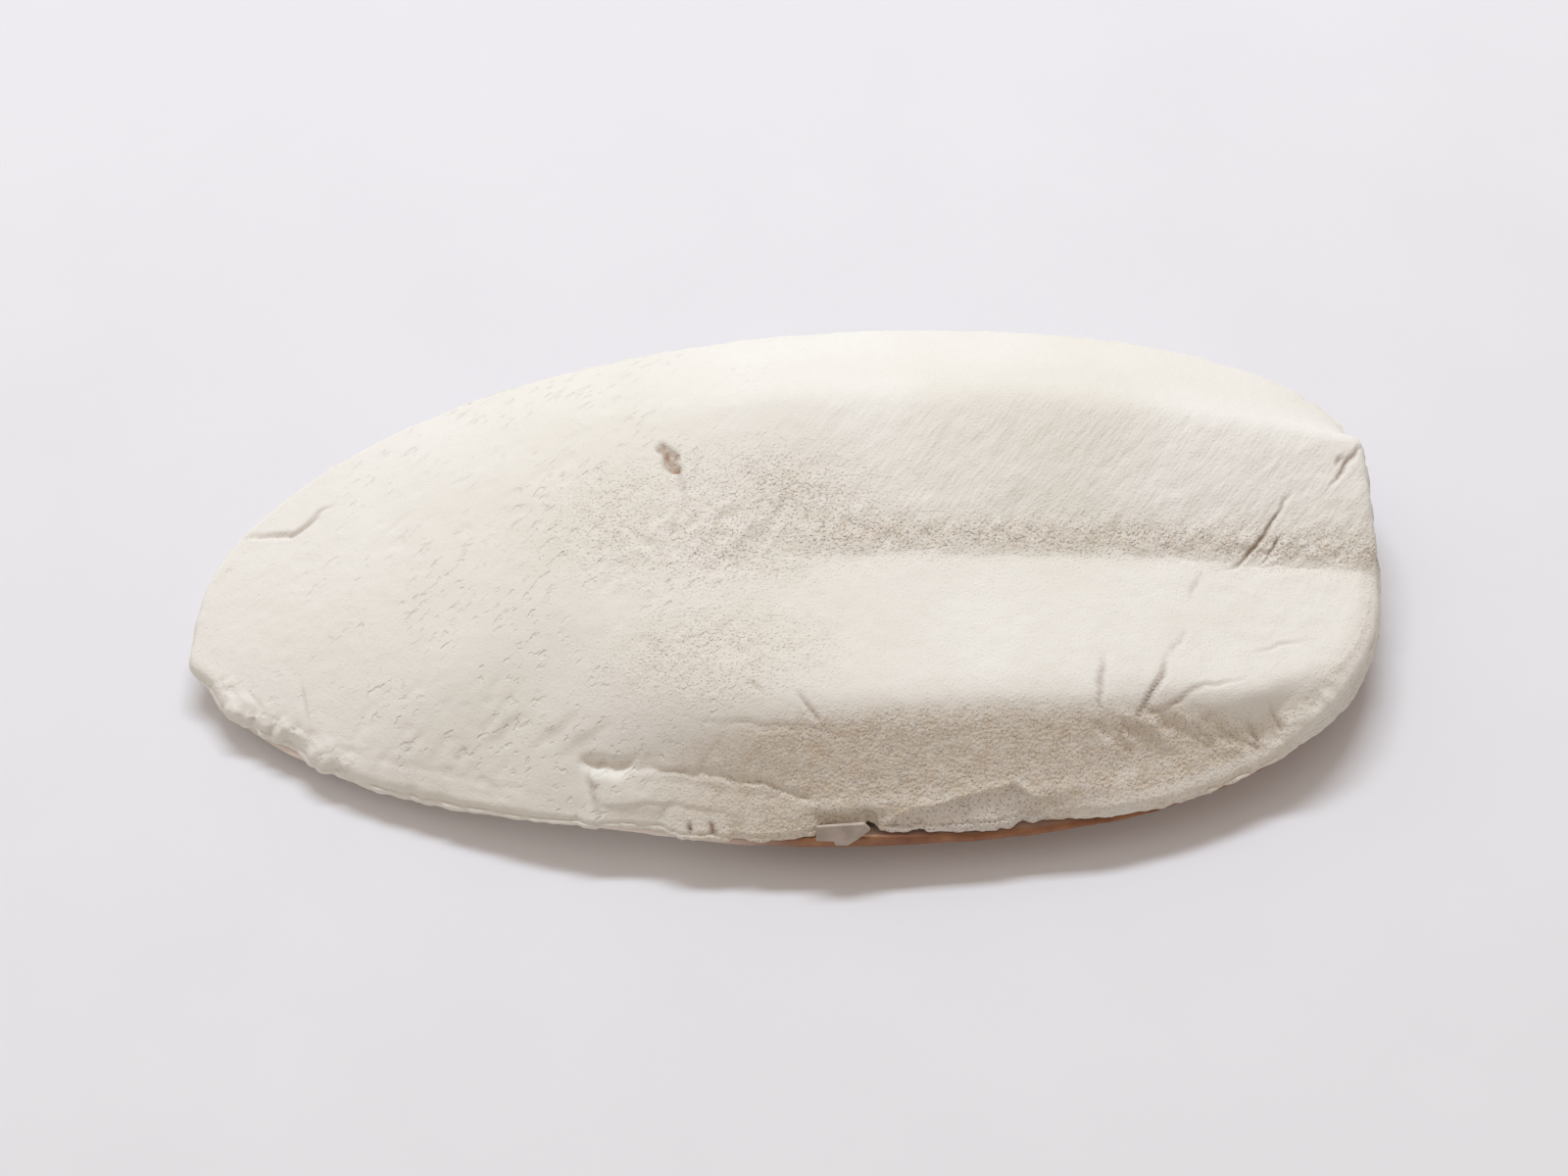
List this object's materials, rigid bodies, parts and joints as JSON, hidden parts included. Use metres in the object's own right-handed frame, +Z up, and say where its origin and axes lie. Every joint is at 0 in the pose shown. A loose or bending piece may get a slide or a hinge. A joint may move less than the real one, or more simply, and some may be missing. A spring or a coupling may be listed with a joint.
{
  "type": "cuttlebone",
  "caption": "Chalky white cuttlebone lying on its back shield, a long tapering oval with a shallow groove, a thin broken rim and one end snapped square.",
  "frame": {"origin": "on the surface the bone lies on, under the middle of its box", "axes": "+X along the bone to the snapped end, +Y to the far and higher rim, +Z up through the soft layered side"},
  "size_m": [0.1403, 0.0654, 0.0226],
  "materials": {
    "chalk": "matt, dry and chalky, with an amber horny edge under the rim"
  },
  "bodies": {
    "root": {"cuttlebone": "chalk"}
  },
  "joints": []
}
